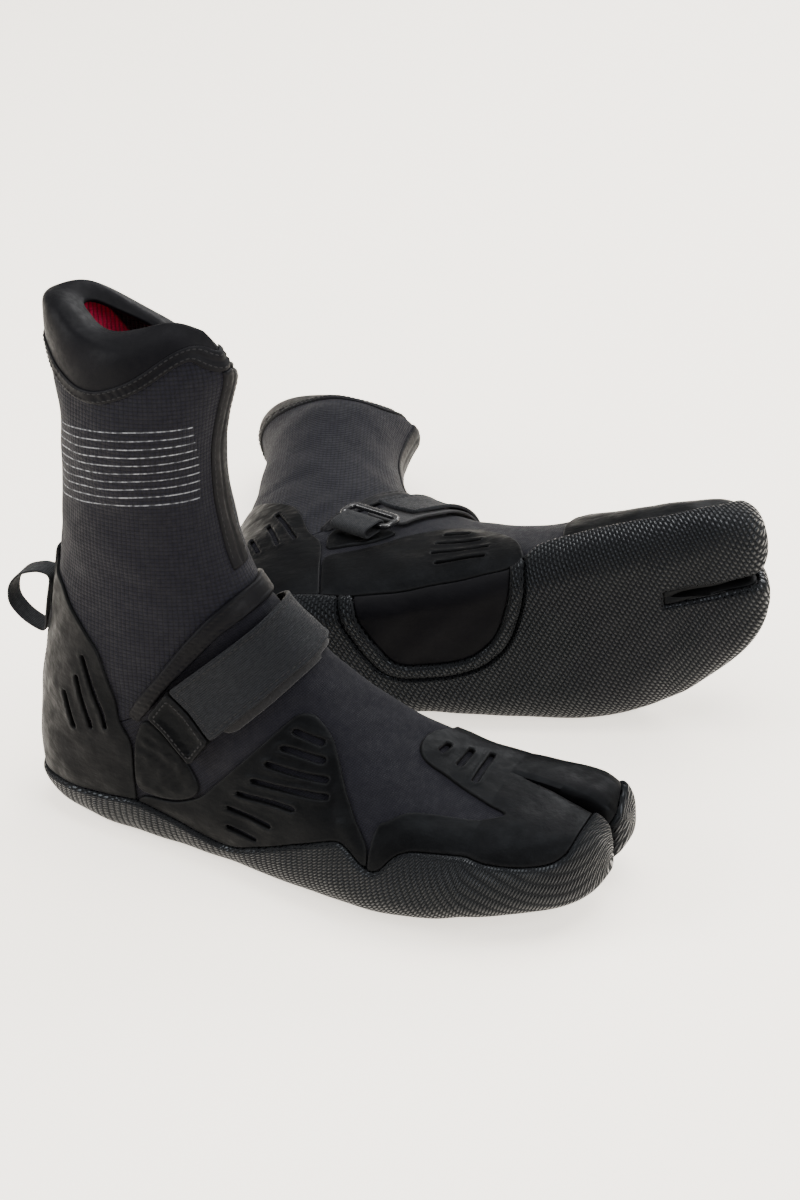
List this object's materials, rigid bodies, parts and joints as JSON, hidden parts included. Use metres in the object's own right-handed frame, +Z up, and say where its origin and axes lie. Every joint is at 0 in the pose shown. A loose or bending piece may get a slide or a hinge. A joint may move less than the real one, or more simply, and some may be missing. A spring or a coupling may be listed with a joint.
{
  "type": "neoprene boots",
  "caption": "Pair of split-toe neoprene water boots with a wrap-round rubber sole, instep strap and heel pull loop, one standing and one lying on its side.",
  "frame": {"origin": "middle of the pair's footprint, on the floor", "axes": "+Z up; the standing right boot's toe points along +X and its inner side faces +Y, where the left boot lies"},
  "size_m": [0.3478, 0.4062, 0.2722],
  "materials": {
    "neoprene": "matt neoprene faced with a fine square-grid knit",
    "smooth_skin": "smooth-skin neoprene, soft satin",
    "lining": "red ribbed fleece",
    "smooth_rubber": "smooth satin rubber",
    "textured_rubber": "satin rubber with a fine slanted mesh pattern",
    "webbing": "ribbed woven webbing",
    "loop_webbing": "brushed loop pile",
    "hook_pad": "moulded hooks",
    "plastic": "gloss black moulding",
    "board": "stitched insole board"
  },
  "bodies": {
    "right_boot": {"right_insole_board": "board", "right_foot_upper": "neoprene", "right_leg_panel": "neoprene", "right_collar": "smooth_skin", "right_foot_lining": "lining", "right_leg_lining": "lining", "right_outsole": "textured_rubber", "right_arch_rim": "textured_rubber", "right_arch_panel": "smooth_skin", "right_heel_counter": "smooth_rubber", "right_outer_side_overlay": "smooth_rubber", "right_inner_side_overlay": "smooth_rubber", "right_toe_overlay": "smooth_rubber", "right_outer_strap_patch": "smooth_rubber", "right_inner_strap_patch": "smooth_rubber", "right_ankle_seam_ridge": "smooth_rubber", "right_front_seam_tape": "smooth_skin", "right_collar_seam_tape": "smooth_skin", "right_heel_strip": "webbing", "right_strap_tab": "webbing", "right_under_strap": "loop_webbing", "right_strap_ring": "plastic", "right_ring_keeper": "webbing"},
    "right_strap": {"right_instep_strap": "webbing", "right_hook_pad": "hook_pad"},
    "right_loop": {"right_pull_loop": "webbing"},
    "left_boot": {"left_insole_board": "board", "left_foot_upper": "neoprene", "left_leg_panel": "neoprene", "left_collar": "smooth_skin", "left_foot_lining": "lining", "left_leg_lining": "lining", "left_outsole": "textured_rubber", "left_arch_rim": "textured_rubber", "left_arch_panel": "smooth_skin", "left_heel_counter": "smooth_rubber", "left_outer_side_overlay": "smooth_rubber", "left_inner_side_overlay": "smooth_rubber", "left_toe_overlay": "smooth_rubber", "left_outer_strap_patch": "smooth_rubber", "left_inner_strap_patch": "smooth_rubber", "left_ankle_seam_ridge": "smooth_rubber", "left_front_seam_tape": "smooth_skin", "left_collar_seam_tape": "smooth_skin", "left_heel_strip": "webbing", "left_strap_tab": "webbing", "left_under_strap": "loop_webbing", "left_strap_ring": "plastic", "left_ring_keeper": "webbing"},
    "left_strap": {"left_instep_strap": "webbing", "left_hook_pad": "hook_pad"},
    "left_loop": {"left_pull_loop": "webbing"}
  },
  "joints": [
    {"name": "right_strap_open", "type": "hinge", "parent": "right_boot", "child": "right_strap", "pos_m": [-0.03516, -0.18943, 0.0824], "axis": [0.7258, 0, -0.6879], "range_deg": [0, 100], "deforming": ["right_instep_strap", "right_hook_pad"]},
    {"name": "right_pull_loop_swing", "type": "hinge", "parent": "right_boot", "child": "right_loop", "pos_m": [-0.12816, -0.14713, 0.1034], "axis": [0.1564, 0, 0.9877], "range_deg": [-55, 55], "stiffness_Nm_per_rad": 0.002, "deforming": ["right_pull_loop"]},
    {"name": "left_strap_open", "type": "hinge", "parent": "left_boot", "child": "left_strap", "pos_m": [-0.02354, 0.03308, 0.0014], "axis": [-0.925, 0.3681, -0.0946], "range_deg": [0, 100], "deforming": ["left_instep_strap", "left_hook_pad"]},
    {"name": "left_pull_loop_swing", "type": "hinge", "parent": "left_boot", "child": "left_loop", "pos_m": [-0.12183, 0.01661, 0.03216], "axis": [0.2245, -0.9745, -0.0056], "range_deg": [-55, 55], "stiffness_Nm_per_rad": 0.002, "deforming": ["left_pull_loop"]},
    {"name": "left_boot_lift", "type": "slide", "parent": "right_boot", "child": "left_boot", "axis": [0, 0, 1], "range_m": [0, 0.35]}
  ]
}
